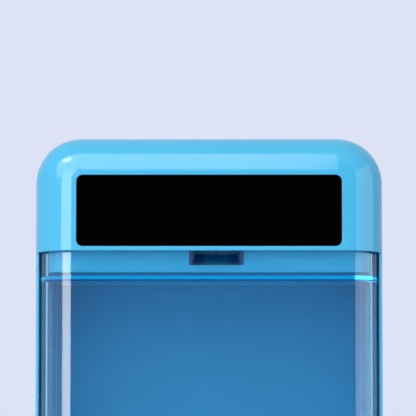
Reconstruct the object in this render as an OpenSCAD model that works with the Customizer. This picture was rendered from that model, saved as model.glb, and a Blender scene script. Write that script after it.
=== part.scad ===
// Timed lock container: an opaque head with a countdown display and a motor lock,
// a clear door that flips down in front of the compartment, and a screwed-on back.
// Millimetres. X runs right, Y runs back, Z runs up; the origin is on the table,
// under the middle of the box. Everything is drawn closed, with the bolt drawn back.

/* [Overall] */
// Width of the housing
overall_w = 96; // [92:1:110]
// Height from the table to the top of the head
overall_h = 208; // [190:1:240]
// Depth from the door's face to the back
overall_d = 42; // [41:1:52]
// Radius of the outline's corners, seen from the front
corner_r = 12.6; // [11.6:0.2:14]
// Rounding from the front face into the sides and the top
front_round = 10; // [8:0.5:11]
// Rounding of the back edge
back_round = 3; // [2:0.5:5]
// Wall of the opaque mouldings
wall = 2.4; // [2:0.1:2.8]
// Depth of the back cover, from the parting line to the back
cover_d = 6; // [5.5:0.5:7.5]
// Width and depth of the groove at the parting line
groove = 0.4; // [0.2:0.1:0.6]

/* [Head] */
// Height of the head above the door
head_h = 32; // [31:0.5:38]
// Floor of the head over the door
head_floor = 1.6; // [1.2:0.2:2.2]
// Ceiling of the compartment
ceiling_t = 2; // [1.6:0.1:2.6]
// How far the apron hangs below the head
apron_h = 5.8; // [5.4:0.1:7]
// Air between the door's flange and the apron
apron_gap = 1.6; // [1:0.1:2.4]

/* [Display] */
// Width of the display lens
lens_w = 73; // [64:1:76]
// Height of the display lens
lens_h = 19.6; // [18:0.2:21]
// Thickness of the display lens
lens_t = 1.2; // [1:0.1:1.5]
// Corner radius of the display lens
lens_corner = 1.7; // [1:0.1:3]
// Strip of the head below the lens
lens_sill = 1.25; // [1:0.05:2]
// Width of the digit module
module_w = 60; // [50:1:62]
// Height of the digit module
module_h = 15; // [12:0.5:15]
// Depth of the digit module
module_d = 6.2; // [5:0.2:7]

/* [Door] */
// Wall of the clear door
door_wall = 2; // [1.6:0.1:2.4]
// Lip of the housing outside the door
lip_t = 1; // [0.8:0.1:1.2]
// Air between the lip and the door
door_gap = 0.25; // [0.2:0.05:0.4]
// Air between the head and the door's top edge
top_gap = 0.6; // [0.4:0.1:1]
// Rib of the door under the apron: its thickness
web_t = 1.5; // [1.2:0.1:2]
// Rib of the door under the apron: its depth from the door's face
web_d = 11; // [8:0.5:13]
// Rib of the door under the apron: the bevels of its free edge
web_bevel = 0.5; // [0.2:0.1:0.5]
// Air between the apron and the rib
web_gap = 1; // [0.6:0.1:1.4]

/* [Hinge] */
// Height of the hinge axis above the table
hinge_up = 9; // [8.6:0.1:10]
// Depth of the hinge axis behind the door's face
hinge_in = 7.5; // [7:0.1:8]
// Reach of the door behind its hinge axis
ear_r = 7.6; // [7.4:0.1:8.4]
// Diameter of the hinge pins
pin_d = 2.5; // [2:0.1:3]
// Outer radius of the hinge hubs and arms
hub_r = 3; // [2.6:0.1:3.1]
// Thickness of each hinge arm
arm_t = 3; // [2:0.5:4]
// Place of each hinge arm's inner face, from the outline's side
arm_in = 11; // [10.5:0.5:13]
// Reach of the hinge pins into the door's hubs
pin_reach = 4; // [3:0.2:4.4]

/* [Lock] */
// Offset of the lock from the middle
latch_x = 2; // [0:0.5:4]
// Width of the latch slot in the apron
slot_w = 15; // [14.4:0.2:18]
// Width of the door's tongue
tongue_w = 12; // [11:0.5:13]
// Thickness of the door's tongue
tongue_t = 2.4; // [2:0.1:2.6]
// Width of the bolt
bolt_w = 6; // [5:0.5:6.5]
// Thickness of the bolt
bolt_t = 3; // [2.5:0.1:3.2]
// Wall of the lock case
case_wall = 1.6; // [1.2:0.1:2]
// Tooth module of the pinion and rack
tooth_module = 0.6; // [0.55:0.05:0.65]
// Teeth on the pinion
pinion_teeth = 10; // [10:1:11]
// Diameter of the output shaft
shaft_d = 3; // [2.5:0.1:3]
// Height of the gear motor
motor_h = 12; // [11:0.5:12.5]
// Thickness of the gear motor, front to back
motor_d = 10; // [9:0.5:10.5]
// Length of the motor's gearbox
gearbox_l = 9.4; // [8:0.2:11]
// Length of the motor's can
can_l = 15; // [12:0.5:17]

/* [Buttons] */
// Diameter of the button caps
button_d = 11.6; // [9:0.2:13]
// Distance between the buttons
button_pitch = 24; // [18:1:26]
// Depth of the dish round each button
dish_depth = 0.8; // [0.5:0.1:1]
// Travel of the buttons
button_travel = 0.5; // [0.3:0.1:0.6]

/* [Battery] */
// Diameter of a cell
cell_d = 10.4; // [9.5:0.1:10.6]
// Length of a cell with its nub
cell_l = 44.5; // [42:0.5:46]
// Wall of the battery bay
bay_wall = 1.4; // [1.2:0.1:1.6]
// Thickness of the battery door
hatch_t = 2; // [1.6:0.1:2.2]

/* [Fixings] */
// Diameter of the screw bosses
boss_d = 6.2; // [5.4:0.2:6.6]
// Diameter of the screws' shanks
screw_d = 2.2; // [1.8:0.1:2.4]
// Diameter of the screws' heads
screw_head_d = 4.2; // [3.6:0.1:4.4]
// Height of the screws' heads
screw_head_h = 1.6; // [1.2:0.1:1.8]
// Height of the rubber feet below the housing
foot_h = 1.2; // [0.8:0.1:1.6]
// Diameter of the rubber feet
foot_d = 9; // [7:0.5:10]

/* [Hidden] */
$fn = 64;

// Cutting tools reach this far past the faces that they open
past = 1;
// Air between fixed neighbours, between sliding ones, and round a turning shaft
seat_gap = 0.1;
slide_gap = 0.25;
turn_gap = 0.04;
// A boss sinks this far into the wall that carries it
sink = 0.6;

sky_blue = "#5ec6f8";
door_blue = [0.12, 0.45, 0.78, 0.55];
lock_grey = "#2a3550";
steel = "#c4c8cc";
board_green = "#1f6b45";
black = "#101114";

// Main planes
y_front = -overall_d / 2;
y_back = overall_d / 2;
y_cover = y_back - cover_d;
z_part = overall_h - head_h;
z_apron = z_part - apron_h;
z_ceiling = z_apron + ceiling_t;
z_head_floor = z_part + head_floor;
z_head_top = overall_h - wall;

// Door; the housing's side lips follow the front rounding until half their thickness is left
door_in = lip_t + door_gap;
lip_reach = sqrt(pow(front_round, 2) - pow(front_round - lip_t / 2, 2));
y_lip = y_front + front_round - lip_reach;
z_lip = foot_h + corner_r;
y_hinge = y_front + hinge_in;
y_skirt = y_hinge + ear_r;
y_rebate = y_skirt + slide_gap;
z_door_top = z_part - top_gap;
z_web = z_apron - web_gap;
y_web = y_front + web_d;
y_apron = y_front + door_wall + apron_gap;
apron_in = door_in + door_wall + slide_gap;
apron_half = overall_w / 2 - apron_in;
y_well = y_apron + wall;
well_half = apron_half - wall;

// Hinge arms and hubs, seen from the middle of the box
arm_x = overall_w / 2 - arm_in;
hub_x = arm_x + arm_t + slide_gap;
pin_end = hub_x + pin_reach;
arm_foot = 5;
notch_gap = 0.35;
notch_down = 1.2;

// Display and boards
z_lens = z_part + lens_sill + lens_h / 2;
lens_rebate = lens_t + seat_gap;
y_module = y_front + wall + seat_gap;
y_board = y_module + module_d;
board_t = 1.2;
y_board_back = y_board + board_t;
board_w = 80;
board_margin = 2.4;
board_hole_x = board_w / 2 - board_margin;
post_d = 4.4;
board_screw_l = 5;
chip_w = 10;
chip_t = 1.5;
chip_x = -module_w / 4;
buzzer_d = 12;
buzzer_t = 6;
buzzer_x = 2 - module_w / 2;
buzzer_hole = 2.4;
sound_hole = 1.2;
sound_pitch = 2.6;
digits = 4;
module_margin = 4;
digit_pitch = (module_w - 2 * module_margin) / digits;
digit_frame = 2;
digit_depth = 0.8;

// Lock
y_tower = y_board_back + seat_gap;
y_bolt = y_tower + case_wall + slide_gap;
y_bolt_back = y_bolt + bolt_t;
eye_gap = 0.5;
tongue_tip = 1.8;
y_tongue = y_bolt_back + eye_gap + tongue_tip;
y_case = y_well + seat_gap;
y_case_back = y_tongue + slide_gap + case_wall;
tongue_below = 0.5;
tongue_above = 0.9;
z_tongue = z_ceiling + tongue_below;
z_tongue_top = z_tongue + tongue_t;
z_channel = z_tongue_top + tongue_above;
z_block = z_channel + case_wall;
z_board = z_block + seat_gap + slide_gap;
z_board_top = z_lens + lens_h / 2 - 0.5;
board_holes_z = [z_board + board_margin, z_board_top - board_margin];
tongue_rib_w = 0.9;
tongue_rib_h = tongue_above / 2;
tongue_side = 0.65;
case_half = tongue_w / 2 + tongue_side + case_wall;
tower_half = bolt_w / 2 + slide_gap + case_wall;
tip_gap = 0.6;
tip_past = 0.2;
z_tip = z_tongue_top + tip_gap;
bolt_travel = tip_gap + tongue_t + tip_past;
pitch_r = tooth_module * pinion_teeth / 2;
tooth_pitch = PI * tooth_module;
addendum = tooth_module;
dedendum = tooth_module * 1.2;
y_pinion = y_bolt_back + dedendum + pitch_r;
z_pinion = z_block + motor_h / 2 + 3;
tooth_backlash = 0.16;
tooth_taper = 0.24;
rack_teeth = ceil((bolt_travel + 2 * addendum + tooth_pitch) / tooth_pitch) + 1;
rack_low = -1.5;
z_bolt_top = z_pinion + (rack_low + rack_teeth) * tooth_pitch;
z_tower = z_bolt_top + 1;
z_rack_room = z_pinion + (rack_low - 0.5) * tooth_pitch - bolt_travel - slide_gap;
bearing_wall = 1.8;
y_tower_back = y_pinion + shaft_d / 2 + bearing_wall;
case_post_h = 2;
z_case_base = z_ceiling + case_post_h;
cradle_t = 2;
ear_half = 3.5;
rear_boss_d = 4;
rear_boss_l = 1.2;
x_motor = latch_x + tower_half;
x_can = x_motor + gearbox_l;
x_motor_end = x_can + can_l;
x_case_end = x_motor_end + boss_d / 2 + 1;
x_case_ear = latch_x - case_half - boss_d / 2 - slide_gap;

// Buttons, from the top down
z_cap = overall_h - 0.1;
z_dish = overall_h - dish_depth;
flange_t = 0.9;
z_flange = z_head_top - slide_gap - flange_t;
switch_h = 3;
plunger_h = 0.4;
z_button_board = z_flange - button_travel - slide_gap - plunger_h - switch_h;
button_board_d = 13;
button_board_end = 7;
button_board_w = 2 * (button_pitch + button_board_end);
switch_w = 6;
plunger_d = 3.4;
flange_out = 1.2;
dish_out = 2;
cap_hollow_r = 30;
cap_hollow = 0.4;

// Battery bay in the back cover, round two cells that lie across the box
cell_gap = 0.35;
contact_room = 3;
bay_half = cell_l / 2 + contact_room;
bay_half_h = cell_d + 3 * cell_gap / 2;
z_bay = z_head_floor + (z_head_top - z_head_floor) / 2 - 1.4;
y_hatch = y_back - hatch_t;
y_bay = y_hatch - cell_gap - cell_d - cell_gap;
hatch_ledge = 2.2;
hatch_corner = 2;
grip_d = 0.8;
grip_l = 12;
grip_pitch = 1.6;
contact_w = 8;
leaf_t = 0.4;
nub_d = 3.8;
nub_l = 1;
y_cell = y_hatch - cell_gap - cell_d / 2;
y_buttons = y_bay - bay_wall - slide_gap - button_board_d / 2;
z_hatch_top = z_bay + bay_half_h + hatch_ledge - slide_gap;
x_sound = bay_half + hatch_ledge + 2 * sound_pitch;
thumb_w = 9;
thumb_h = 5;
thumb_slit = 0.6;
thumb_dish = 0.7;

// Contact spring: a tapering coil of round wire, from the leaf to the end of the cell
spring_wire = 0.5;
spring_turns = 3;
spring_r_leaf = 3.6;
spring_r_cell = 2;
spring_l = contact_room - leaf_t - seat_gap - spring_wire / 2;
rings_per_turn = 8;
spring_steps = spring_turns * rings_per_turn;
spring_points = [for (i = [0:spring_steps]) let (t = i / spring_steps, a = 360 * spring_turns * t,
    r = spring_r_leaf + (spring_r_cell - spring_r_leaf) * t) [spring_l * t, r * cos(a), r * sin(a)]];
spring_gap = min([for (i = [0:spring_steps], j = [i + rings_per_turn / 2:1:spring_steps])
    norm(spring_points[i] - spring_points[j])]) - spring_wire;
echo(least_gap_between_spring_turns = spring_gap);

// Screws that hold the back cover: corners of the head, sides, corners of the floor
corner_reach = (corner_r - wall - boss_d / 2 + sink) / sqrt(2);
boss_corner_x = overall_w / 2 - corner_r + corner_reach;
boss_side_x = overall_w / 2 - wall - boss_d / 2 + sink;
boss_spots = [[boss_corner_x, overall_h - corner_r + corner_reach, 12],
              [boss_side_x, (z_apron + foot_h) / 2, 8],
              [boss_corner_x, foot_h + corner_r - corner_reach, 8]];
seat_t = 1.6;
cover_screw_l = 6.6;
screw_play = 0.25;
cover_boss_out = 0.7;
foot_x = overall_w / 2 - corner_r - foot_d / 2;
feet_y = [y_front + front_round + foot_d / 2 + 0.5, y_cover - foot_d / 2 - 0.5];
foot_seat = 0.4;

// A box between two opposite corners
module block(low, high) translate(low) cube(high - low);

// Round bars along each axis
module x_bar(d, x0, x1, y, z) translate([x0, y, z]) rotate([0, 90, 0]) cylinder(d = d, h = x1 - x0);
module y_bar(d, y0, y1, x, z) translate([x, y0, z]) rotate([-90, 0, 0]) cylinder(d = d, h = y1 - y0);
module z_bar(d, z0, z1, x, y) translate([x, y, z0]) cylinder(d = d, h = z1 - z0);

// The same shape on the left and on the right
module both_sides() {
    children();
    mirror([1, 0, 0]) children();
}

// A flat outline in Y and Z, given thickness along X
module side_plate(x, t) translate([x, 0, 0]) rotate([90, 0, 90]) linear_extrude(t) children();

module quarter_disc(r) intersection() {
    circle(r = r);
    square(2 * r);
}

// Section of a slab's edge: out to r, with its low and high corners rounded
module rim_section(r, low, high, low_r, high_r) {
    translate([0, low + low_r]) square([r, high - high_r - low - low_r]);
    if (high_r > 0) {
        translate([0, high - high_r]) square([r - high_r, high_r]);
        translate([r - high_r, high - high_r]) quarter_disc(high_r);
    }
    if (low_r > 0) {
        translate([0, low]) square([r - low_r, low_r]);
        translate([r - low_r, low + low_r]) mirror([0, 1]) quarter_disc(low_r);
    }
}

// Upright slab: rounded outline in X and Z, rounded edges front and back
module slab(w, z0, z1, front, back, r, front_r, back_r) {
    h = z1 - z0;
    translate([0, 0, (z0 + z1) / 2]) rotate([90, 0, 0]) {
        translate([r - w / 2, r - h / 2, -back]) cube([w - 2 * r, h - 2 * r, back - front]);
        for (i = [0:3]) {
            across = i % 2 == 0 ? w : h;
            along = i % 2 == 0 ? h : w;
            rotate([0, 0, 90 * i]) {
                translate([across / 2 - r, along / 2 - r, 0])
                    rotate_extrude(angle = 90) rim_section(r, -back, -front, back_r, front_r);
                translate([across / 2 - r, along / 2 - r, 0]) rotate([90, 0, 0])
                    linear_extrude(along - 2 * r) rim_section(r, -back, -front, back_r, front_r);
            }
        }
    }
}

// A slab with the housing's outline, drawn in on all sides
module outline_slab(inset, front, back, front_r, back_r)
    slab(overall_w - 2 * inset, foot_h + inset, overall_h - inset, front, back,
         corner_r - inset, front_r, back_r);

// Everything below or above a height
module below(z) block([-overall_w, -overall_d, -overall_h], [overall_w, overall_d, z]);
module above(z) block([-overall_w, -overall_d, z], [overall_w, overall_d, 2 * overall_h]);

// Flat pan-head screw, pointing to the front, its head seated at y
module y_screw(x, y, z, length) {
    y_bar(screw_head_d, y, y + screw_head_h, x, z);
    y_bar(screw_d, y - length, y + screw_head_h / 2, x, z);
}

// ---- housing ----

// Room for the door: open in front of the lips, a rebate behind them, the apron left standing.
// The lips step back at the foot, where the door swings past
module door_room() difference() {
    union() {
        side_plate(-overall_w, 2 * overall_w) polygon([
            [y_front - past, -past],
            [y_front + front_round, -past],
            [y_front + front_round, z_lip],
            [y_lip, z_lip + lip_reach],
            [y_lip, z_part],
            [y_front - past, z_part]]);
        intersection() {
            outline_slab(lip_t, y_front - past, y_rebate, 0, 0);
            below(z_part);
        }
    }
    intersection() {
        outline_slab(apron_in, y_front + door_wall + slide_gap, y_back, front_round - apron_in, 0);
        block([-overall_w, y_apron, z_apron], [overall_w, overall_d, overall_h]);
    }
}

module compartment() intersection() {
    outline_slab(wall, y_rebate - past, y_cover + past, 0, 0);
    below(z_apron);
}

module head_cavity() {
    intersection() {
        outline_slab(wall, y_front + wall, y_cover + past, front_round - wall, 0);
        above(z_head_floor);
    }
    block([-well_half, y_well, z_ceiling], [well_half, y_cover + past, z_head_floor + past]);
}

// Arm that reaches forward from the floor to one hinge pin
module hinge_arm() {
    x_bar(2 * hub_r, arm_x, arm_x + arm_t, y_hinge, hinge_up);
    side_plate(arm_x, arm_t) polygon([
        [y_hinge + hub_r * 0.6, hinge_up + hub_r * 0.8],
        [y_rebate + arm_foot, foot_h + wall],
        [y_rebate + arm_foot, foot_h + wall / 2],
        [y_rebate - lip_t, foot_h + lip_t / 2],
        [y_hinge + hub_r * 0.6, hinge_up - hub_r * 0.8]]);
}

module cover_boss(spot) intersection() {
    y_bar(boss_d, y_cover - spot[2], y_cover, spot[0], spot[1]);
    outline_slab(wall / 2, y_front, y_back, 0, 0);
}

module board_bosses() for (x = [-1, 1], z = board_holes_z)
    y_bar(post_d, y_front + wall - sink, y_board, x * board_hole_x, z);

module button_board_bosses() for (x = [-1, 1])
    z_bar(post_d, z_button_board, z_head_top + sink, x * button_pitch / 2, y_buttons);

module lens_recess() {
    translate([0, y_front - past, z_lens]) rotate([-90, 0, 0]) linear_extrude(past + lens_rebate)
        rounded_plate(lens_w + 2 * seat_gap, lens_h + 2 * seat_gap, lens_corner + seat_gap);
    block([-module_w / 2, y_front, z_lens - module_h / 2],
          [module_w / 2, y_front + wall + past, z_lens + module_h / 2]);
}

// Flat rectangle with round corners
module rounded_plate(w, h, r) {
    square([w - 2 * r, h], center = true);
    for (x = [-1, 1]) {
        translate([x * (w - r) / 2, 0]) square([r, h - 2 * r], center = true);
        for (z = [-1, 1]) translate([x * (w / 2 - r), z * (h / 2 - r)])
            mirror([x < 0 ? 1 : 0, 0]) mirror([0, z < 0 ? 1 : 0]) quarter_disc(r);
    }
}

module case_screw_spots() for (x = [x_case_ear, x_case_end])
    translate([x, y_pinion, 0]) children();

module housing() color(sky_blue) difference() {
    union() {
        difference() {
            outline_slab(0, y_front, y_cover, front_round, 0);
            door_room();
            compartment();
            head_cavity();
        }
        both_sides() {
            hinge_arm();
            for (spot = boss_spots) cover_boss(spot);
        }
        board_bosses();
        button_board_bosses();
        case_screw_spots() translate([0, 0, z_ceiling - sink]) cylinder(d = boss_d, h = sink + case_post_h);
    }
    lens_recess();
    block([latch_x - slot_w / 2, y_apron - past, z_ceiling], [latch_x + slot_w / 2, y_well + past, z_part]);
    for (i = [-1:1]) {
        z_bar(button_d + 2 * slide_gap, z_head_top - past, overall_h + past, i * button_pitch, y_buttons);
        z_bar(button_d + 2 * dish_out, z_dish, overall_h + past, i * button_pitch, y_buttons);
    }
    both_sides() {
        x_bar(pin_d + 2 * turn_gap, arm_x - past, arm_x + arm_t + past, y_hinge, hinge_up);
        for (spot = boss_spots)
            y_bar(screw_d + 2 * turn_gap, y_cover - spot[2] + 2, y_cover + past, spot[0], spot[1]);
    }
    for (x = [-1, 1], z = board_holes_z)
        y_bar(screw_d + 2 * turn_gap, y_board - board_screw_l, y_board + past, x * board_hole_x, z);
    for (x = [-1, 1])
        z_bar(screw_d + 2 * turn_gap, z_button_board - past, z_button_board + board_screw_l - board_t,
              x * button_pitch / 2, y_buttons);
    case_screw_spots() translate([0, 0, z_ceiling])
        cylinder(d = screw_d + 2 * turn_gap, h = case_post_h + past);
    foot_spots() translate([0, 0, foot_h - past]) cylinder(d = foot_d, h = past + foot_seat);
}

// ---- back cover ----

module back_cover() color(sky_blue) difference() {
    union() {
        difference() {
            union() {
                outline_slab(groove, y_cover, y_back - back_round, 0, 0);
                outline_slab(0, y_cover + groove, y_back, 0, back_round);
            }
            outline_slab(wall, y_cover - past, y_back - wall, 0, max(back_round - wall, 0.5));
        }
        block([-overall_w / 2 + wall / 2, y_cover, z_apron],
              [overall_w / 2 - wall / 2, y_back - wall / 2, z_ceiling]);
        both_sides() for (spot = boss_spots) intersection() {
            y_bar(boss_d + 2 * cover_boss_out, y_cover, y_back - wall / 2, spot[0], spot[1]);
            outline_slab(wall / 2, y_cover, y_back, 0, 0);
        }
        block([-bay_half - bay_wall, y_bay - bay_wall, z_bay - bay_half_h - bay_wall],
              [bay_half + bay_wall, y_back - wall / 2, z_bay + bay_half_h + bay_wall]);
    }
    block([-bay_half, y_bay, z_bay - bay_half_h], [bay_half, y_back + past, z_bay + bay_half_h]);
    translate([0, y_back + past, z_bay]) rotate([90, 0, 0]) linear_extrude(past + hatch_t)
        rounded_plate(2 * (bay_half + hatch_ledge), 2 * (bay_half_h + hatch_ledge), hatch_corner);
    both_sides() for (spot = boss_spots) {
        y_bar(screw_d + 2 * screw_play, y_cover - past, y_back + past, spot[0], spot[1]);
        y_bar(screw_head_d + 2 * screw_play, y_cover + seat_t, y_back + past, spot[0], spot[1]);
    }
    for (at = [[0, 0], [-1, 0], [1, 0], [0, -1], [0, 1]])
        y_bar(sound_hole, y_cover, y_back + past,
              -x_sound + at[0] * sound_pitch, z_bay + at[1] * sound_pitch);
}

// Snap lid with a flexing thumb tab at its top edge and a ribbed grip
module battery_door() color(sky_blue) difference() {
    translate([0, y_back, z_bay]) rotate([90, 0, 0]) linear_extrude(hatch_t - seat_gap) difference() {
        rounded_plate(2 * (bay_half + hatch_ledge - slide_gap), 2 * (bay_half_h + hatch_ledge - slide_gap),
                      hatch_corner - slide_gap);
        for (x = [-1, 1]) translate([x * (thumb_w + thumb_slit) / 2, bay_half_h + hatch_ledge - thumb_h / 2])
            square([thumb_slit, thumb_h], center = true);
    }
    intersection() {
        block([-thumb_w / 2, y_back - thumb_dish, z_bay],
              [thumb_w / 2, y_back + past, z_hatch_top - thumb_slit]);
        x_bar(2 * thumb_h, -thumb_w / 2, thumb_w / 2, y_back + thumb_h - thumb_dish, z_hatch_top - thumb_h);
    }
    for (i = [-2:2]) x_bar(grip_d, -grip_l / 2, grip_l / 2, y_back, z_bay + (i - 1) * grip_pitch);
}

// ---- door ----

// The door's outer form, its foot rounded about the hinge axis so that it can swing
module door_form() difference() {
    outline_slab(door_in, y_front, y_skirt, front_round - door_in, 0);
    difference() {
        block([-overall_w, y_hinge, -past], [overall_w, overall_d, hinge_up]);
        x_bar(2 * ear_r, -overall_w, overall_w, y_hinge, hinge_up);
    }
}

module clear_door() color(door_blue) difference() {
    union() {
        intersection() {
            difference() {
                door_form();
                outline_slab(door_in + door_wall, y_front + door_wall, y_skirt + past,
                             front_round - door_in - door_wall, 0);
            }
            below(z_door_top);
        }
        intersection() {
            outline_slab(door_in + door_wall / 2, y_front + door_wall / 2, y_web,
                         front_round - door_in - door_wall / 2, 0);
            side_plate(-overall_w, 2 * overall_w) polygon([
                [y_front, z_web - web_t],
                [y_web - web_bevel, z_web - web_t],
                [y_web, z_web - web_t + web_bevel],
                [y_web, z_web - web_bevel],
                [y_web - web_bevel, z_web],
                [y_front, z_web]]);
        }
        block([latch_x - tongue_w / 2, y_front + door_wall / 2, z_tongue],
              [latch_x + tongue_w / 2, y_tongue, z_tongue_top]);
        block([latch_x - tongue_rib_w / 2, y_front + door_wall / 2, z_tongue],
              [latch_x + tongue_rib_w / 2, y_bolt - eye_gap - tongue_tip, z_tongue_top + tongue_rib_h]);
        both_sides() intersection() {
            x_bar(2 * hub_r, hub_x, overall_w / 2, y_hinge, hinge_up);
            door_form();
        }
    }
    block([latch_x - bolt_w / 2 - eye_gap, y_bolt - eye_gap, z_tongue - past],
          [latch_x + bolt_w / 2 + eye_gap, y_bolt_back + eye_gap, z_tongue_top + past]);
    both_sides() {
        x_bar(pin_d + 2 * turn_gap, hub_x - past, pin_end + seat_gap, y_hinge, hinge_up);
        block([arm_x - notch_gap, y_front - past, 0],
              [arm_x + arm_t + notch_gap / 2, y_skirt + past, hinge_up - notch_down]);
    }
}

module hinge_pins() color(steel) both_sides() x_bar(pin_d, arm_x, pin_end, y_hinge, hinge_up);

// ---- display and boards ----

module display_lens() color(black)
    translate([0, y_front + seat_gap / 2, z_lens]) rotate([-90, 0, 0]) linear_extrude(lens_t)
        rounded_plate(lens_w, lens_h, lens_corner);

module display_module() color("#e9e9e4") difference() {
    block([-module_w / 2 + 1, y_module, z_lens - module_h / 2 + 1],
          [module_w / 2 - 1, y_board, z_lens + module_h / 2 - 1]);
    for (i = [0:digits - 1]) translate([(i - (digits - 1) / 2) * digit_pitch, 0, z_lens])
        block([-digit_pitch / 2 + digit_frame, y_module - past, -module_h / 2 + digit_frame + 1],
              [digit_pitch / 2 - digit_frame, y_module + digit_depth, module_h / 2 - digit_frame - 1]);
}

module main_board() color(board_green) difference() {
    block([-board_w / 2, y_board, z_board], [board_w / 2, y_board_back, z_board_top]);
    for (x = [-1, 1], z = board_holes_z)
        y_bar(screw_d + screw_play, y_board - past, y_board_back + past, x * board_hole_x, z);
}

module board_screws() color(steel) for (x = [-1, 1], z = board_holes_z)
    y_screw(x * board_hole_x, y_board_back, z, board_screw_l);

module controller_chip() color(black)
    block([chip_x - chip_w / 2, y_board_back, z_lens - chip_w / 2],
          [chip_x + chip_w / 2, y_board_back + chip_t, z_lens + chip_w / 2]);

module buzzer() color(black) difference() {
    y_bar(buzzer_d, y_board_back, y_board_back + buzzer_t, buzzer_x, z_lens);
    y_bar(buzzer_hole, y_board_back + buzzer_t - 2, y_board_back + buzzer_t + past, buzzer_x, z_lens);
}

module button_board() color(board_green) translate([0, y_buttons, z_button_board - board_t]) difference() {
    block([-button_board_w / 2, -button_board_d / 2, 0], [button_board_w / 2, button_board_d / 2, board_t]);
    for (x = [-1, 1]) z_bar(screw_d + screw_play, -past, board_t + past, x * button_pitch / 2, 0);
}

module button_board_screws() color(steel)
    for (x = [-1, 1]) translate([x * button_pitch / 2, y_buttons, z_button_board - board_t]) {
        z_bar(screw_head_d, -screw_head_h, 0, 0, 0);
        z_bar(screw_d, -screw_head_h / 2, board_screw_l - slide_gap, 0, 0);
    }

module tact_switches() color(black) for (i = [-1:1])
    translate([i * button_pitch, y_buttons, z_button_board]) {
        translate([-switch_w / 2, -switch_w / 2, 0]) cube([switch_w, switch_w, switch_h]);
        translate([0, 0, switch_h - sink]) cylinder(d = plunger_d, h = plunger_h + sink);
    }

// Button cap with a flange under the top wall and a shallow dished face
module button_cap(i) color("#e9f6ff") translate([i * button_pitch, y_buttons, 0]) difference() {
    union() {
        z_bar(button_d, z_flange, z_cap, 0, 0);
        z_bar(button_d + 2 * flange_out, z_flange, z_flange + flange_t, 0, 0);
    }
    translate([0, 0, z_cap - cap_hollow + cap_hollow_r]) sphere(r = cap_hollow_r);
}

module hour_button() button_cap(-1);
module minute_button() button_cap(0);
module lock_button() button_cap(1);

// ---- lock ----

// Block round the tongue, tower round the bolt, and a cradle on posts for the motor
module lock_case() color(lock_grey) difference() {
    union() {
        block([latch_x - case_half, y_case, z_ceiling + seat_gap],
              [latch_x + case_half, y_case_back, z_block]);
        block([latch_x - tower_half, y_tower, z_block - sink],
              [latch_x + tower_half, y_tower_back, z_tower]);
        block([latch_x, y_pinion - motor_d / 2 - case_wall, z_case_base],
              [x_case_end + ear_half, y_pinion + motor_d / 2 + case_wall, z_case_base + case_wall]);
        block([x_case_ear - ear_half, y_pinion - ear_half, z_case_base],
              [latch_x, y_pinion + ear_half, z_case_base + case_wall]);
        for (x = [x_motor + 1, x_motor_end - cradle_t - 1])
            block([x, y_pinion - motor_d / 2 - case_wall, z_case_base],
                  [x + cradle_t, y_pinion + motor_d / 2 + case_wall, z_pinion]);
    }
    block([latch_x - case_half + case_wall, y_case - past, z_ceiling - past],
          [latch_x + case_half - case_wall, y_case_back - case_wall, z_channel]);
    block([latch_x - bolt_w / 2 - slide_gap, y_bolt - slide_gap, z_channel - past],
          [latch_x + bolt_w / 2 + slide_gap, y_bolt_back + slide_gap, z_tower + past]);
    block([latch_x - bolt_w / 2 - slide_gap, y_bolt, z_rack_room],
          [latch_x + bolt_w / 2 + slide_gap, y_tower_back + past, z_tower + past]);
    x_bar(shaft_d + 2 * turn_gap, latch_x - tower_half - past, latch_x + tower_half + past,
          y_pinion, z_pinion);
    block([x_motor - seat_gap, y_pinion - motor_d / 2 - seat_gap, z_pinion - motor_h / 2 - seat_gap],
          [x_motor_end + past, y_pinion + motor_d / 2 + seat_gap, z_pinion + motor_h]);
    case_screw_spots() translate([0, 0, z_ceiling])
        cylinder(d = screw_d + 4 * turn_gap, h = case_post_h + case_wall + past);
}

module lock_case_screws() color(steel) case_screw_spots() {
    translate([0, 0, z_case_base + case_wall]) cylinder(d = screw_head_d, h = screw_head_h);
    translate([0, 0, z_ceiling + slide_gap]) cylinder(d = screw_d, h = case_post_h + case_wall);
}

// Bolt with its rack; the rack's spaces meet a pinion tooth at rest
module lock_bolt() color(steel) {
    half = (tooth_pitch / 2 - tooth_backlash) / 2;
    depth = dedendum + addendum;
    block([latch_x - bolt_w / 2, y_bolt, z_tip], [latch_x + bolt_w / 2, y_bolt_back, z_bolt_top]);
    for (k = [0:rack_teeth - 1]) side_plate(latch_x - bolt_w / 2, bolt_w)
        translate([y_bolt_back, z_pinion + (rack_low + k) * tooth_pitch])
            polygon([[-sink, -half - tooth_taper], [0, -half - tooth_taper], [depth, -half + tooth_taper],
                     [depth, half - tooth_taper], [0, half + tooth_taper], [-sink, half + tooth_taper]]);
}

module drive_pinion() color("#e8e4d8") {
    half = (tooth_pitch / 2 - tooth_backlash) / 2;
    root = pitch_r - dedendum;
    tip = pitch_r + addendum;
    translate([0, y_pinion, z_pinion])
        side_plate(latch_x - bolt_w / 2 + slide_gap, bolt_w - 2 * slide_gap) difference() {
            union() {
                circle(r = root);
                for (k = [0:pinion_teeth - 1]) rotate(180 + 360 * k / pinion_teeth)
                    polygon([[root - sink, -half], [pitch_r, -half], [tip, -half + tooth_taper],
                             [tip, half - tooth_taper], [pitch_r, half], [root - sink, half]]);
            }
            circle(d = shaft_d);
        }
}

module output_shaft() color(steel)
    x_bar(shaft_d, latch_x - tower_half, x_motor + gearbox_l / 2, y_pinion, z_pinion);

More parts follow.
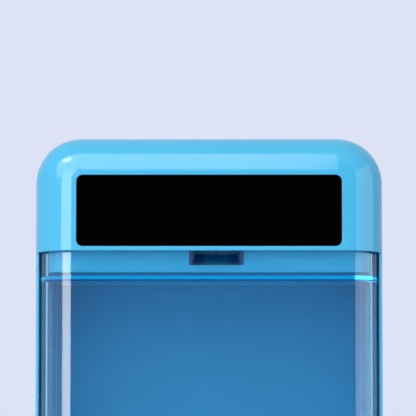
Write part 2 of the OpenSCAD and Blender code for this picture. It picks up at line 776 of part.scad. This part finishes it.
module gear_motor() color("#b9bcc0") difference() {
    union() {
        block([x_motor, y_pinion - motor_d / 2, z_pinion - motor_h / 2],
              [x_can, y_pinion + motor_d / 2, z_pinion + motor_h / 2]);
        intersection() {
            x_bar(motor_h, x_can - sink, x_motor_end, y_pinion, z_pinion);
            block([x_can - sink, y_pinion - motor_d / 2, z_pinion - motor_h],
                  [x_motor_end, y_pinion + motor_d / 2, z_pinion + motor_h]);
        }
        x_bar(rear_boss_d, x_motor_end - sink, x_motor_end + rear_boss_l, y_pinion, z_pinion);
    }
    x_bar(shaft_d + 2 * turn_gap, x_motor - past, x_motor + gearbox_l / 2 + turn_gap, y_pinion, z_pinion);
}

// ---- battery ----

module battery_cells() color("#d8d3c4") for (s = [-1, 1]) {
    z = z_bay + s * (cell_d + cell_gap) / 2;
    x_bar(cell_d, -cell_l / 2, cell_l / 2 - nub_l, y_cell, z);
    x_bar(nub_d, cell_l / 2 - nub_l - sink, cell_l / 2, y_cell, z);
}

// Wire swept along the coil, with a ring of six points square to the axis direction at each step
module contact_spring() {
    sides = 6;
    count = len(spring_points);
    rings = [for (i = [0:count - 1]) let (p = spring_points[i], a = atan2(p[2], p[1])) for (k = [0:sides - 1])
        let (b = 360 * k / sides) p + spring_wire / 2 * [sin(b), cos(b) * cos(a), cos(b) * sin(a)]];
    walls = [for (i = [0:count - 2], k = [0:sides - 1]) let (n = (k + 1) % sides)
        [i * sides + n, (i + 1) * sides + n, (i + 1) * sides + k, i * sides + k]];
    ends = [[for (k = [sides - 1:-1:0]) k], [for (k = [0:sides - 1]) (count - 1) * sides + k]];
    polyhedron(points = rings, faces = concat(walls, ends));
}

// Leaves at both ends of each cell, with a spring at its flat end and a raised button at its nub
module battery_contacts() color(steel)
    for (s = [-1, 1]) translate([0, y_cell, z_bay + s * (cell_d + cell_gap) / 2]) {
        for (x = [-bay_half, bay_half - leaf_t])
            block([x, -contact_w / 2, -contact_w / 2], [x + leaf_t, contact_w / 2, contact_w / 2]);
        x_bar(nub_d, cell_l / 2 + seat_gap, bay_half, 0, 0);
        translate([leaf_t - bay_half, 0, 0]) contact_spring();
    }

// ---- fixings ----

module foot_spots() for (x = [-1, 1], y = feet_y)
    translate([x * foot_x, y, 0]) children();

module rubber_feet() color(black) foot_spots() cylinder(d = foot_d - 2 * seat_gap, h = foot_h + foot_seat);

module cover_screws() color(steel) both_sides() for (spot = boss_spots)
    y_screw(spot[0], y_cover + seat_t, spot[1], cover_screw_l);

housing();
back_cover();
clear_door();
display_lens();
display_module();
main_board();
controller_chip();
buzzer();
board_screws();
button_board();
button_board_screws();
tact_switches();
hour_button();
minute_button();
lock_button();
lock_case();
lock_case_screws();
lock_bolt();
drive_pinion();
output_shaft();
gear_motor();
battery_cells();
battery_contacts();
battery_door();
hinge_pins();
rubber_feet();
cover_screws();
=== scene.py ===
import bpy
import numpy as np
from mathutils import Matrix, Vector


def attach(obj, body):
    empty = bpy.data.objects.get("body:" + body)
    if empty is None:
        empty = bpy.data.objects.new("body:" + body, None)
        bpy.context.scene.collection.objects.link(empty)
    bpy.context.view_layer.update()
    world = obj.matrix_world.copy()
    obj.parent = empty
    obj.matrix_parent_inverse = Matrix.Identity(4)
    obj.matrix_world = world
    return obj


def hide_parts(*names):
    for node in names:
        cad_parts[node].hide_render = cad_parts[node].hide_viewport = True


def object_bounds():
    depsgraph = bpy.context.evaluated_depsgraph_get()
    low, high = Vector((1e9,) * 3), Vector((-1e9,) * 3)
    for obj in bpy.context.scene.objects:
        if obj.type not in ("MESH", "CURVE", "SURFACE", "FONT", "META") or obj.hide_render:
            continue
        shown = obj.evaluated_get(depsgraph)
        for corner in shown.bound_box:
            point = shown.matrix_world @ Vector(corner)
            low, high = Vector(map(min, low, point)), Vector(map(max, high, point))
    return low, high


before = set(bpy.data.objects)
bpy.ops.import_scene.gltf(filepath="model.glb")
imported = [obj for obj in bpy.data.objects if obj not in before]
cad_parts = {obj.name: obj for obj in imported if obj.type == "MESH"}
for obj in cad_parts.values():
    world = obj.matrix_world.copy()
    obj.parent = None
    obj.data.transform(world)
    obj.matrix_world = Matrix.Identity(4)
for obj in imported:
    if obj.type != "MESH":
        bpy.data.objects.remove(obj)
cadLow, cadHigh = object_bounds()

mm = 0.001  # every length in the dictionaries below is in millimetres
cornerEnds = ((0, 0), (1, 0), (1, 1), (0, 1))  # a rectangle's corners in turn: which end of either side


def linearColour(hexText):
    # sRGB hex to linear light, by the standard curve
    parts = np.array([int(hexText[i:i + 2], 16) for i in (1, 3, 5)]) / 255
    light = np.where(parts <= 0.04045, parts / 12.92, ((parts + 0.055) / 1.055) ** 2.4)
    return (*light, 1.0)


def blendEnds(tones):
    # the two colours that a Mix node runs between
    return {"A": linearColour(tones[0]), "B": linearColour(tones[1])}


def rangeEnds(span):
    # the two values that a Map Range node runs between
    return {"To Min": span[0], "To Max": span[1]}


def addNode(tree, kind, values=None, links=None, **settings):
    # one node with its settings, its sockets' values and what feeds its sockets
    node = tree.nodes.new(kind)
    for name, value in settings.items():
        setattr(node, name, value)
    for name, value in (values or {}).items():
        node.inputs[name].default_value = value
    for name, source in (links or {}).items():
        tree.links.new(source, node.inputs[name])
    return node


def newMaterial(name):
    material = bpy.data.materials.new(name)
    material.use_nodes = True
    material.node_tree.nodes.clear()
    return material, material.node_tree


def finishMaterial(tree, surface, volume=None):
    sources = {"Surface": surface.outputs[0]}
    if volume is not None:
        sources["Volume"] = volume.outputs[0]
    addNode(tree, "ShaderNodeOutputMaterial", links=sources)


def objectNoise(tree, sizeMm, detail=2, stretch=(1, 1, 1)):
    # noise in the object's own space; its grains measure sizeMm divided by stretch on each axis
    place = addNode(tree, "ShaderNodeTexCoord")
    spread = addNode(tree, "ShaderNodeMapping", {"Scale": [s / (sizeMm * mm) for s in stretch]},
                     {"Vector": place.outputs["Object"]})
    noise = addNode(tree, "ShaderNodeTexNoise", {"Scale": 1.0, "Detail": detail},
                    {"Vector": spread.outputs["Vector"]})
    return noise.outputs["Fac"]


cameraView = {
    "imageWidth": 416,       # pixels
    "frontScale": 3.635,     # pixels for one millimetre of the head's front face
    "distance": 1200,        # from the front face; long, so that the sides stay upright
    "seamHeight": 176,       # the line between head and door
    "seamPixel": 250.5,      # the row that this line lies on
    "middlePixel": 209.1,    # the column that the object's middle lies on
    "riseToSeam": 0.1,       # slope of the view up to the seam
    "sensor": 36,
    "sight": 50000,          # how far the camera sees
}


def makeCamera(view):
    # a long lens that starts below the head and looks up a little; the aim is the picture's middle
    data = bpy.data.cameras.new("camera")
    data.sensor_width = view["sensor"]
    data.lens = view["frontScale"] * view["sensor"] * view["distance"] / view["imageWidth"]
    data.clip_end = view["sight"] * mm
    half = view["imageWidth"] / 2
    frontY = cadLow.y / mm
    aimZ = view["seamHeight"] + (view["seamPixel"] - half) / view["frontScale"]
    aimX = (half - view["middlePixel"]) / view["frontScale"]
    eyeZ = view["seamHeight"] - view["riseToSeam"] * view["distance"]
    run = np.sqrt(view["distance"] ** 2 - (aimZ - eyeZ) ** 2)
    aim = Vector((aimX, frontY, aimZ)) * mm
    eye = Vector((aimX, frontY - run, eyeZ)) * mm
    camera = bpy.data.objects.new("camera", data)
    camera.location = eye
    camera.rotation_euler = (aim - eye).to_track_quat("-Z", "Y").to_euler()
    bpy.context.scene.collection.objects.link(camera)
    bpy.context.scene.camera = camera
    print("made the camera")


# power is what a lamp gives to the object in watts, strength how bright its card is in a mirror reflection
studio = {
    "top": {"power": 2.9, "across": (-900, 60), "height": 687, "distance": 750,
            "elevation": 40.5,                    # degrees above the head's front top edge
            "colour": "#FFFBF6", "strength": 4.9},
    "strip": {"power": 2.3, "width": 400, "up": (-260, 430), "distance": 800,
              "azimuth": -20.5,                   # degrees from the front, minus is to the left
              "colour": "#FFF7F0", "strength": 7.4},
    # black opposite the front, so that the display window stays deep
    "frontCard": {"distance": 1500, "across": (-300, 906), "up": (-200, 1300),
                  "colour": "#000000", "strength": 1.0},
    # pale on the right, for the soft sheen on the head's right rounding
    "sideCard": {"distance": 1100, "depth": (-1800, 60), "up": (-100, 900),
                 "colour": "#E6EAEC", "strength": 2.9},
    # small and bright over the left, for the spot on the head's corner
    "cornerCard": {"height": 520, "across": (-300, -165), "depth": (-190, -330),
                   "colour": "#F6F2F8", "strength": 17.5},
}


def addCard(name, corners, plan):
    # a glowing card that only mirror reflections see
    mesh = bpy.data.meshes.new(name)
    mesh.from_pydata([tuple(Vector(c) * mm) for c in corners], [], [(0, 1, 2, 3)])
    card = bpy.data.objects.new(name, mesh)
    material, tree = newMaterial(name)
    finishMaterial(tree, addNode(tree, "ShaderNodeEmission",
                                 {"Color": linearColour(plan["colour"]), "Strength": plan["strength"]}))
    mesh.materials.append(material)
    bpy.context.scene.collection.objects.link(card)
    for ray in ("camera", "diffuse", "transmission", "shadow", "volume_scatter"):
        setattr(card, "visible_" + ray, False)


def addSoftbox(name, centre, width, height, towards, plan):
    # a rectangular lamp that camera and mirror reflections don't see; a card in its place draws its sheen
    data = bpy.data.lights.new(name, "AREA")
    data.shape = "RECTANGLE"
    data.size = width * mm
    data.size_y = height * mm
    data.energy = plan["power"]
    lamp = bpy.data.objects.new(name, data)
    lamp.location = Vector(centre) * mm
    turn = (Vector(towards) * mm - lamp.location).to_track_quat("-Z", "Y")
    lamp.rotation_euler = turn.to_euler()
    lamp.visible_camera = False
    lamp.visible_glossy = False
    bpy.context.scene.collection.objects.link(lamp)
    addCard(name + "Sheen", [Vector(centre) + turn @ Vector(((i - 0.5) * width, (j - 0.5) * height, 0))
                             for i, j in cornerEnds], plan)


def makeStudio(plan):
    top = plan["top"]
    left, right = top["across"]
    middle, lift = (left + right) / 2, np.radians(top["elevation"])
    edge = (cadLow.y / mm, cadHigh.z / mm)
    centre = (middle, edge[0] - top["distance"] * np.cos(lift), edge[1] + top["distance"] * np.sin(lift))
    addSoftbox("topSoftbox", centre, right - left, top["height"], (middle, *edge), top)

    strip = plan["strip"]
    low, high = strip["up"]
    middle, turn = (low + high) / 2, np.radians(strip["azimuth"])
    centre = (strip["distance"] * np.sin(turn), -strip["distance"] * np.cos(turn), middle)
    addSoftbox("leftSoftbox", centre, strip["width"], high - low, (0, 0, middle), strip)

    front, side, corner = plan["frontCard"], plan["sideCard"], plan["cornerCard"]
    addCard("frontCard", [(front["across"][i], -front["distance"], front["up"][j])
                          for i, j in cornerEnds], front)
    addCard("sideCard", [(side["distance"], side["depth"][i], side["up"][j])
                         for i, j in cornerEnds], side)
    addCard("cornerCard", [(corner["across"][i], corner["depth"][j], corner["height"])
                           for i, j in cornerEnds], corner)
    print("made the lamps and their cards")


surroundings = {
    "fill": 0.55,                       # level of the room's own light
    "backdrop": "#DDE2F5",
    "floorSize": 12000, "floorTones": ("#D9DEF1", "#DFE4F7"),
    "cloudMm": 8, "floorRough": 0.9, "floorSpecular": 0.1,
}


def makeRoom(plan):
    # the room is an even white for the object's light, and the backdrop's colour where it is seen directly,
    # in a mirror reflection or through the door
    world = bpy.data.worlds.new("room")
    world.use_nodes = True
    tree = world.node_tree
    tree.nodes.clear()
    rays = addNode(tree, "ShaderNodeLightPath")
    seen = rays.outputs["Is Camera Ray"]
    for ray in ("Is Glossy Ray", "Is Transmission Ray"):
        either = addNode(tree, "ShaderNodeMath", links={0: seen, 1: rays.outputs[ray]}, operation="MAXIMUM")
        seen = either.outputs[0]
    light = addNode(tree, "ShaderNodeBackground", {"Color": (1, 1, 1, 1), "Strength": plan["fill"]})
    backdrop = addNode(tree, "ShaderNodeBackground",
                       {"Color": linearColour(plan["backdrop"]), "Strength": 1.0})
    both = addNode(tree, "ShaderNodeMixShader", links={0: seen, 1: light.outputs[0], 2: backdrop.outputs[0]})
    addNode(tree, "ShaderNodeOutputWorld", links={"Surface": both.outputs[0]})
    bpy.context.scene.world = world


def makeFloor(plan):
    # matte paper: an even pale ground with faint clouds, which keeps the box's shadow
    half = plan["floorSize"] / 2 * mm
    corners = [((2 * i - 1) * half, (2 * j - 1) * half, 0) for i, j in cornerEnds]
    mesh = bpy.data.meshes.new("floor")
    mesh.from_pydata(corners, [], [(0, 1, 2, 3)])
    floor = bpy.data.objects.new("floor", mesh)
    material, tree = newMaterial("paleMattePaper")
    tone = addNode(tree, "ShaderNodeMix", blendEnds(plan["floorTones"]),
                   {"Factor": objectNoise(tree, plan["cloudMm"])}, data_type="RGBA")
    finishMaterial(tree, addNode(tree, "ShaderNodeBsdfPrincipled",
                                 {"Roughness": plan["floorRough"],
                                  "Specular IOR Level": plan["floorSpecular"]},
                                 {"Base Color": tone.outputs["Result"]}))
    mesh.materials.append(material)
    bpy.context.scene.collection.objects.link(floor)
    print("made the room and the floor")


def insideBox(tree, corners):
    # 1 inside a box of the object's own space, 0 outside: the farthest of the three axes decides
    low, high = np.array(corners) * mm
    place = addNode(tree, "ShaderNodeTexCoord")
    offset = addNode(tree, "ShaderNodeVectorMath", {1: (low + high) / 2}, {0: place.outputs["Object"]},
                     operation="SUBTRACT")
    spread = addNode(tree, "ShaderNodeVectorMath", links={0: offset.outputs["Vector"]}, operation="ABSOLUTE")
    beyond = addNode(tree, "ShaderNodeVectorMath", {1: (high - low) / 2}, {0: spread.outputs["Vector"]},
                     operation="SUBTRACT")
    axes = addNode(tree, "ShaderNodeSeparateXYZ", links={0: beyond.outputs["Vector"]})
    most = axes.outputs[0]
    for axis in (1, 2):
        farther = addNode(tree, "ShaderNodeMath", links={0: most, 1: axes.outputs[axis]}, operation="MAXIMUM")
        most = farther.outputs[0]
    return addNode(tree, "ShaderNodeMath", {1: 0.0}, {0: most}, operation="LESS_THAN").outputs[0]


# housing, back cover and battery door
skyAbs = {
    "tones": ("#4CBFEB", "#55C6F1"), "pigmentMm": 22,         # the pigment's faint swirl
    "rough": (0.07, 0.13), "wearMm": 9,                       # patches of wear from hands
    "peel": 0.012, "peelMm": 2.6, "peelDepthMm": 0.2,         # the orange peel of a moulding
    "edgeMm": 0.35, "edgeSamples": 6,                         # how far the edges' shading is rounded
    "ior": 1.53, "specular": 0.33,
    "compartment": ((-45.0, -3.2, 11.0), (45.0, 19.8, 169.9)),
    "innerPaintedShade": ("#41A1D4", "#4AA9DC"), "innerRough": 0.5,  # the compartment's walls: their darker tones are painted shade, their roughness a real matte
}


def skyGlossAbs(plan):
    # gloss moulded ABS: a clean sky blue with a tight highlight, a faint swirl and a very slight orange peel;
    # the compartment's walls keep the tool's fine matte texture, which dulls them; their darker blue is
    # painted shade
    material, tree = newMaterial("skyGlossAbs")
    swirl = objectNoise(tree, plan["pigmentMm"], 3)
    inner = insideBox(tree, plan["compartment"])
    outside, paintedShadeInside = (addNode(tree, "ShaderNodeMix", blendEnds(plan[tones]), {"Factor": swirl},
                               data_type="RGBA") for tones in ("tones", "innerPaintedShade"))
    # inside the compartment's box the tone turns to the darker blue, painted shade of the deep box
    tone = addNode(tree, "ShaderNodeMix", links={"Factor": inner, "A": outside.outputs["Result"],
                                                 "B": paintedShadeInside.outputs["Result"]}, data_type="RGBA")
    wear = addNode(tree, "ShaderNodeMapRange", rangeEnds(plan["rough"]),
                   {"Value": objectNoise(tree, plan["wearMm"], 4)})
    rough = addNode(tree, "ShaderNodeMix", {"B": plan["innerRough"]},
                    {"Factor": inner, "A": wear.outputs["Result"]})
    edge = addNode(tree, "ShaderNodeBevel", {"Radius": plan["edgeMm"] * mm}, samples=plan["edgeSamples"])
    peel = addNode(tree, "ShaderNodeBump", {"Strength": plan["peel"], "Distance": plan["peelDepthMm"] * mm},
                   {"Height": objectNoise(tree, plan["peelMm"], 1), "Normal": edge.outputs["Normal"]})
    finishMaterial(tree, addNode(tree, "ShaderNodeBsdfPrincipled",
                                 {"IOR": plan["ior"], "Specular IOR Level": plan["specular"]},
                                 {"Base Color": tone.outputs["Result"], "Roughness": rough.outputs["Result"],
                                  "Normal": peel.outputs["Normal"]}))
    return material


clearDoor = {
    "tint": "#29EDFE", "density": 205,                # light fades by density times what the tint lacks
    "rough": (0.006, 0.03), "handlingMm": 14,         # patches of handling
    "wave": 0.02, "waveMm": 18, "waveDepthMm": 0.3,   # the slight waves of a moulded wall
    "ior": 1.585,
}


def clearPolycarbonate(plan):
    # polished clear polycarbonate: sharp reflections, and a blue that comes from the depth of plastic
    # that the light crosses, so that edges and walls seen along their length are the deepest
    material, tree = newMaterial("clearPolycarbonate")
    wear = addNode(tree, "ShaderNodeMapRange", rangeEnds(plan["rough"]),
                   {"Value": objectNoise(tree, plan["handlingMm"], 4)})
    wave = addNode(tree, "ShaderNodeBump", {"Strength": plan["wave"], "Distance": plan["waveDepthMm"] * mm},
                   {"Height": objectNoise(tree, plan["waveMm"], 1)})
    glass = addNode(tree, "ShaderNodeBsdfPrincipled",
                    {"Base Color": (1, 1, 1, 1), "IOR": plan["ior"], "Transmission Weight": 1.0},
                    {"Roughness": wear.outputs["Result"], "Normal": wave.outputs["Normal"]})
    depth = addNode(tree, "ShaderNodeVolumeAbsorption",
                    {"Color": linearColour(plan["tint"]), "Density": plan["density"]})
    finishMaterial(tree, glass, depth)
    return material


# A spark-eroded tool leaves a grain of 0.05 to 0.1 mm. It is drawn at grainMm, coarse enough to show; on the
# smooth finishes, acrylic, solder mask and ice white, grainMm is the width of their slight waves
mouldings = {
    # natural nylon: a milky off-white with a broad, waxy sheen
    "naturalNylon": {"tones": ("#D8D4C6", "#E4E0D3"), "rough": (0.4, 0.55), "grainMm": 0.8},
    # black ABS of chips, buzzer and switches: a neutral near-black with a dull satin sheen
    "blackAbs": {"tones": ("#101113", "#17181B"), "rough": (0.35, 0.5), "grainMm": 0.6},
    # glass-epoxy board under a green solder mask: a deep green lacquer, faintly uneven from the weave
    "greenSolderMask": {"tones": ("#14532F", "#1B653B"), "rough": (0.25, 0.4), "grainMm": 1.5},
    # indigo ABS of the lock case: a violet blue that stays apart from the sky blue behind the door
    "indigoAbs": {"tones": ("#5A6BC0", "#6475CA"), "rough": (0.35, 0.5), "grainMm": 0.8},
    # cast black acrylic, polished: a deep black with mirror reflections and hardly a wave
    "blackAcrylic": {"tones": ("#010102", "#020203"), "rough": (0.03, 0.06), "grainMm": 6, "grain": 0.004,
                     "ior": 1.49},
    # moulded rubber: black, dry and without a highlight
    "mouldedRubber": {"tones": ("#151517", "#1D1D20"), "rough": (0.7, 0.85), "grainMm": 0.5, "grain": 0.15},
    # ice white ABS of the key caps, smooth moulded: a cool white with a soft highlight
    "iceWhiteAbs": {"tones": ("#DCEBF5", "#E6F2FA"), "rough": (0.1, 0.2), "grainMm": 4, "grain": 0.01},
}


def moulded(name, tones, rough, grainMm, grain=0.05, ior=1.5, cloud=12, grainDepthMm=0.1):
    # opaque moulded plastic or rubber: a fine grain, and clouds of tone that are cloud times as wide
    material, tree = newMaterial(name)
    noise = objectNoise(tree, grainMm, 3)
    tone = addNode(tree, "ShaderNodeMix", blendEnds(tones), {"Factor": objectNoise(tree, grainMm * cloud)},
                   data_type="RGBA")
    dull = addNode(tree, "ShaderNodeMapRange", rangeEnds(rough), {"Value": noise})
    bump = addNode(tree, "ShaderNodeBump", {"Strength": grain, "Distance": grainDepthMm * mm},
                   {"Height": noise})
    finishMaterial(tree, addNode(tree, "ShaderNodeBsdfPrincipled", {"IOR": ior},
                                 {"Base Color": tone.outputs["Result"], "Roughness": dull.outputs["Result"],
                                  "Normal": bump.outputs["Normal"]}))
    return material


# Drawing and rolling leave lines of a few hundredths of a millimetre. They are 0.25 mm wide here, to show
metals = {
    # zinc-plated steel of screws and contacts: a cool pale grey with a soft, slightly cloudy shine
    "zincPlatedSteel": {"tones": ("#B9BEC4", "#D3D7DB"), "rough": (0.22, 0.36)},
    # bright drawn steel of bolt, shaft and pins: a darker grey with a brighter, streaked shine
    "brightDrawnSteel": {"tones": ("#A9ADB3", "#C9CDD2"), "rough": (0.16, 0.3)},
    # nickel-plated motor can: the palest of the three, faintly warm, with a sharp shine
    "nickelPlatedCan": {"tones": ("#C2C4C6", "#DADCDD"), "rough": (0.15, 0.28)},
}


def metal(name, tones, rough, streakMm=3, narrower=12):
    # bare or plated metal with streaks along X, streakMm long and narrower times less wide
    material, tree = newMaterial(name)
    noise = objectNoise(tree, streakMm, 4, (1, narrower, narrower))
    tone = addNode(tree, "ShaderNodeMix", blendEnds(tones), {"Factor": noise}, data_type="RGBA")
    dull = addNode(tree, "ShaderNodeMapRange", rangeEnds(rough), {"Value": noise})
    finishMaterial(tree, addNode(tree, "ShaderNodeBsdfPrincipled", {"Metallic": 1.0},
                                 {"Base Color": tone.outputs["Result"], "Roughness": dull.outputs["Result"]}))
    return material


cellPrint = {
    "tones": ("#17181A", "#1F2023"), "copperTones": ("#B8753A", "#C88549"),
    "copperBand": ((9.5, 0, 150), (23.0, 40, 250)),   # the end with the nub
    "rough": (0.26, 0.34), "grainMm": 2.5, "metallic": 0.9,
}


def cellJacket(plan):
    # printed steel jacket of a dry cell: a dark satin foil with a copper-coloured band at one end
    material, tree = newMaterial("printedCellJacket")
    grain = objectNoise(tree, plan["grainMm"], 3)
    dark, copper = (addNode(tree, "ShaderNodeMix", blendEnds(plan[tones]), {"Factor": grain},
                            data_type="RGBA") for tones in ("tones", "copperTones"))
    band = insideBox(tree, plan["copperBand"])
    tone = addNode(tree, "ShaderNodeMix", links={"Factor": band, "A": dark.outputs["Result"],
                                                 "B": copper.outputs["Result"]}, data_type="RGBA")
    dull = addNode(tree, "ShaderNodeMapRange", rangeEnds(plan["rough"]), {"Value": grain})
    finishMaterial(tree, addNode(tree, "ShaderNodeBsdfPrincipled", {"Metallic": plan["metallic"]},
                                 {"Base Color": tone.outputs["Result"], "Roughness": dull.outputs["Result"]}))
    return material


nodeFinishes = {
    "skyGlossAbs": ["housing", "back_cover", "battery_door"],
    "clearPolycarbonate": ["clear_door"],
    "blackAcrylic": ["display_lens"],
    "naturalNylon": ["display_module", "drive_pinion"],
    "greenSolderMask": ["main_board", "button_board"],
    "blackAbs": ["controller_chip", "buzzer", "tact_switches"],
    "zincPlatedSteel": ["board_screws", "button_board_screws", "lock_case_screws", "battery_contacts",
                        "cover_screws"],
    "iceWhiteAbs": ["hour_button", "minute_button", "lock_button"],
    "indigoAbs": ["lock_case"],
    "brightDrawnSteel": ["lock_bolt", "output_shaft", "hinge_pins"],
    "nickelPlatedCan": ["gear_motor"],
    "printedCellJacket": ["battery_cells"],
    "mouldedRubber": ["rubber_feet"],
}


def makeMaterials():
    made = [skyGlossAbs(skyAbs), clearPolycarbonate(clearDoor), cellJacket(cellPrint)]
    made += [moulded(name, **plan) for name, plan in mouldings.items()]
    made += [metal(name, **plan) for name, plan in metals.items()]
    print("made", len(made), "materials")
    return {material.name: material for material in made}


def dressNodes(materials, plan):
    for finish, names in plan.items():
        for name in names:
            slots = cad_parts[name].data.materials
            slots.clear()
            slots.append(materials[finish])
    print("dressed", sum(len(names) for names in plan.values()), "nodes")


# the screws of the back cover: one closed surface each, lathed from the head's middle to the point
coverScrew = {
    "spots": [(40.845, 200.845), (43.1, 85.7), (40.845, 8.355)],  # X and Z; the left mirrors the right
    "seat": 16.6, "headDiameter": 4.2, "headHeight": 1.6, "crown": 0.14, "edgeRound": 0.5,
    "recessReach": 1.2, "recessWidth": 0.46, "recessDepth": 0.9, "recessSlope": 0.14,
    "recessRise": 0.6,              # share of the recess's depth that is gone at the ends of its arms
    "point": 10.0, "pointLength": 1.1, "coreDiameter": 1.7, "threadDiameter": 2.16, "pitch": 0.9,
    "ridgeHalf": 0.3,               # half a ridge's width, as a share of the pitch
    "neck": 0.3,                    # plain shank below the head
    "poleRadius": 0.02, "tipRadius": 0.05,   # the first and last ring, which the fans close
    "around": 72, "headRings": 24, "rimRings": 5, "threadRings": 64,
    "slack": 0.01,                  # what two equal lengths may differ by
    "sharpAngle": 40,               # degrees; flatter edges are shaded smooth
}


def screwRings(plan):
    # rings of (radius, height) from the pole on the head's top to the pole at the point. The crown falls with
    # the square of the radius, the rim is a quarter circle, the head is flat below, the shank straight and
    # the point a cone
    radius, core = plan["headDiameter"] / 2, plan["coreDiameter"] / 2
    top, bend = plan["seat"] + plan["headHeight"], plan["edgeRound"]
    flat = np.linspace(plan["poleRadius"], radius - bend, plan["headRings"])
    turn = np.linspace(0, np.pi / 2, plan["rimRings"] + 1)[1:]
    crown = plan["crown"] * (flat / radius) ** 2
    shank = np.linspace(plan["seat"], plan["point"] + plan["pointLength"], plan["threadRings"])
    radii = np.concatenate([flat, radius - bend * (1 - np.sin(turn)), [radius, core],
                            np.full(len(shank) - 1, core), [plan["tipRadius"]]])
    heights = np.concatenate([top - crown, top - crown[-1] - bend * (1 - np.cos(turn)), [plan["seat"]] * 2,
                              shank[1:], [plan["point"]]])
    return radii, heights


def screwSurface(plan, x, z):
    # lathed rings. The recess sinks where a point lies in either arm of a cross, the most at the middle, and
    # its wall's half height lies on the cross's outline. The thread swells the core, the most where height
    # over pitch plus the share of a turn has a fraction of one half
    radii, heights = screwRings(plan)
    turn = np.linspace(0, 2 * np.pi, plan["around"], endpoint=False)
    radius, angle = np.meshgrid(radii, turn, indexing="ij")
    height = np.repeat(heights[:, None], len(turn), axis=1)
    onTop = np.arange(len(radii)) < plan["headRings"]
    wide, far = np.abs(radius * np.cos(angle)), np.abs(radius * np.sin(angle))
    half, reach = plan["recessWidth"] / 2, plan["recessReach"]
    outside = np.minimum(np.maximum(wide - reach, far - half), np.maximum(far - reach, wide - half))
    sunk = np.clip(0.5 - outside / plan["recessSlope"], 0, 1)
    sunk = sunk * (1 - plan["recessRise"] * np.clip(radius / reach, 0, 1))
    height = height - np.where(onTop[:, None], sunk * plan["recessDepth"], 0)
    phase = (height / plan["pitch"] + angle / (2 * np.pi)) % 1
    ridge = np.clip(1 - np.abs(phase - 0.5) / plan["ridgeHalf"], 0, 1)
    core, slack = plan["coreDiameter"] / 2, plan["slack"]
    upper, lower = plan["seat"] - plan["neck"], plan["point"] + plan["pointLength"] - slack
    onShank = (height < upper) & (height > lower) & (radius < core + slack)
    radius = radius + np.where(onShank, ridge * (plan["threadDiameter"] / 2 - core), 0)
    return np.stack([x + radius * np.cos(angle), height, z + radius * np.sin(angle)], axis=-1)


def closedShell(name, surfaces, sharpAngle):
    # one mesh of lathed surfaces: quads between neighbouring rings, a fan at each end
    points, faces, start = [], [], 0
    for surface in surfaces:
        rings, around = surface.shape[:2]
        grid = start + np.arange(rings * around).reshape(rings, around)
        following = np.roll(grid, -1, axis=1)
        quads = np.stack([grid[:-1], grid[1:], following[1:], following[:-1]], axis=-1).reshape(-1, 4)
        poles = start + rings * around
        first = np.stack([np.full(around, poles), grid[0], following[0]], axis=-1)
        last = np.stack([np.full(around, poles + 1), following[-1], grid[-1]], axis=-1)
        faces += quads.tolist() + first.tolist() + last.tolist()
        points += [surface.reshape(-1, 3), surface[:1].mean(axis=1), surface[-1:].mean(axis=1)]
        start = poles + 2
    mesh = bpy.data.meshes.new(name)
    mesh.from_pydata((np.concatenate(points) * mm).tolist(), [], faces)
    mesh.polygons.foreach_set("use_smooth", [True] * len(faces))
    mesh.set_sharp_from_angle(angle=np.radians(sharpAngle))
    piece = bpy.data.objects.new(name, mesh)
    bpy.context.scene.collection.objects.link(piece)
    return piece


def makeCoverScrews(plan, finish):
    places = [(side * x, z) for side in (1, -1) for x, z in plan["spots"]]
    shapes = [screwSurface(plan, x, z) for x, z in places]
    screws = closedShell("coverScrewsThreaded", shapes, plan["sharpAngle"])
    screws.data.materials.append(finish)
    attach(screws, "frame")
    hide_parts("cover_screws")
    print("made", len(places), "cover screws")


bpy.context.scene.view_settings.view_transform = "Standard"
makeCamera(cameraView)
makeStudio(studio)
makeRoom(surroundings)
makeFloor(surroundings)
materials = makeMaterials()
dressNodes(materials, nodeFinishes)
makeCoverScrews(coverScrew, materials["zincPlatedSteel"])
